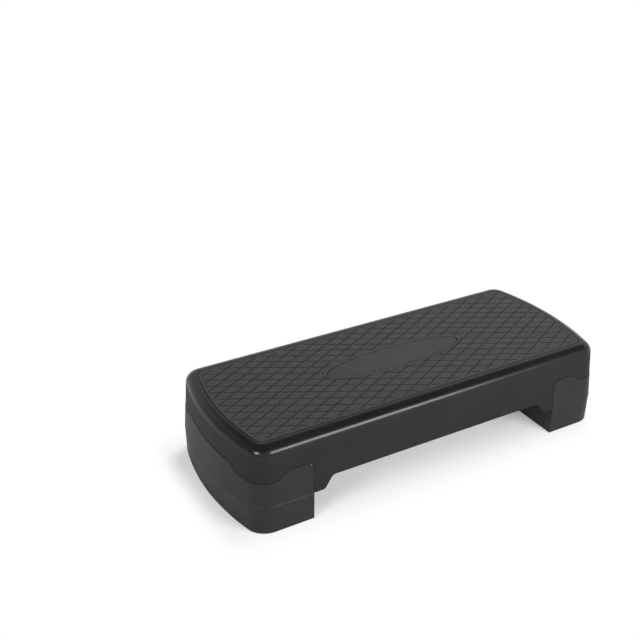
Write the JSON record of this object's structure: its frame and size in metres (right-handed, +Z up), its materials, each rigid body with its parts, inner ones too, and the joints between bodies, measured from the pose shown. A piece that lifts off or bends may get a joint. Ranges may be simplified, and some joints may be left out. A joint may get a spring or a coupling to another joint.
{
  "type": "aerobic step platform",
  "caption": "Low aerobic step platform: a moulded deck with an inlaid diamond-pattern anti-slip mat, standing on lift-off end risers that make it taller.",
  "frame": {"origin": "middle of the footprint, on the floor under the rubber feet", "axes": "+X along the length, +Y across the width towards the back, +Z up"},
  "size_m": [0.68, 0.28, 0.1448],
  "materials": {
    "deck_plastic": "satin",
    "riser_plastic": "satin",
    "mat_rubber": "matt",
    "plate_plastic": "satin",
    "foot_rubber": "matt"
  },
  "bodies": {
    "left_riser": {"left_riser": "riser_plastic", "left_riser_foot_front_inner": "foot_rubber", "left_riser_foot_back_inner": "foot_rubber", "left_riser_foot_front_outer": "foot_rubber", "left_riser_foot_back_outer": "foot_rubber"},
    "deck": {"deck": "deck_plastic", "anti_slip_mat": "mat_rubber", "oval_plate": "plate_plastic", "left_leg_foot_front_inner": "foot_rubber", "left_leg_foot_back_inner": "foot_rubber", "left_leg_foot_front_outer": "foot_rubber", "left_leg_foot_back_outer": "foot_rubber", "right_leg_foot_front_inner": "foot_rubber", "right_leg_foot_back_inner": "foot_rubber", "right_leg_foot_front_outer": "foot_rubber", "right_leg_foot_back_outer": "foot_rubber"},
    "right_riser": {"right_riser": "riser_plastic", "right_riser_foot_front_inner": "foot_rubber", "right_riser_foot_back_inner": "foot_rubber", "right_riser_foot_front_outer": "foot_rubber", "right_riser_foot_back_outer": "foot_rubber"}
  },
  "joints": [
    {"name": "deck_lift", "type": "slide", "parent": "left_riser", "child": "deck", "axis": [0, 0, 1], "range_m": [0, 0.06]},
    {"name": "right_riser_release", "type": "slide", "parent": "deck", "child": "right_riser", "axis": [0, 0, -1], "range_m": [0, 0.06]}
  ],
  "couplings": [
    {"joint": "right_riser_release", "follows": "deck_lift", "ratio": 1}
  ]
}
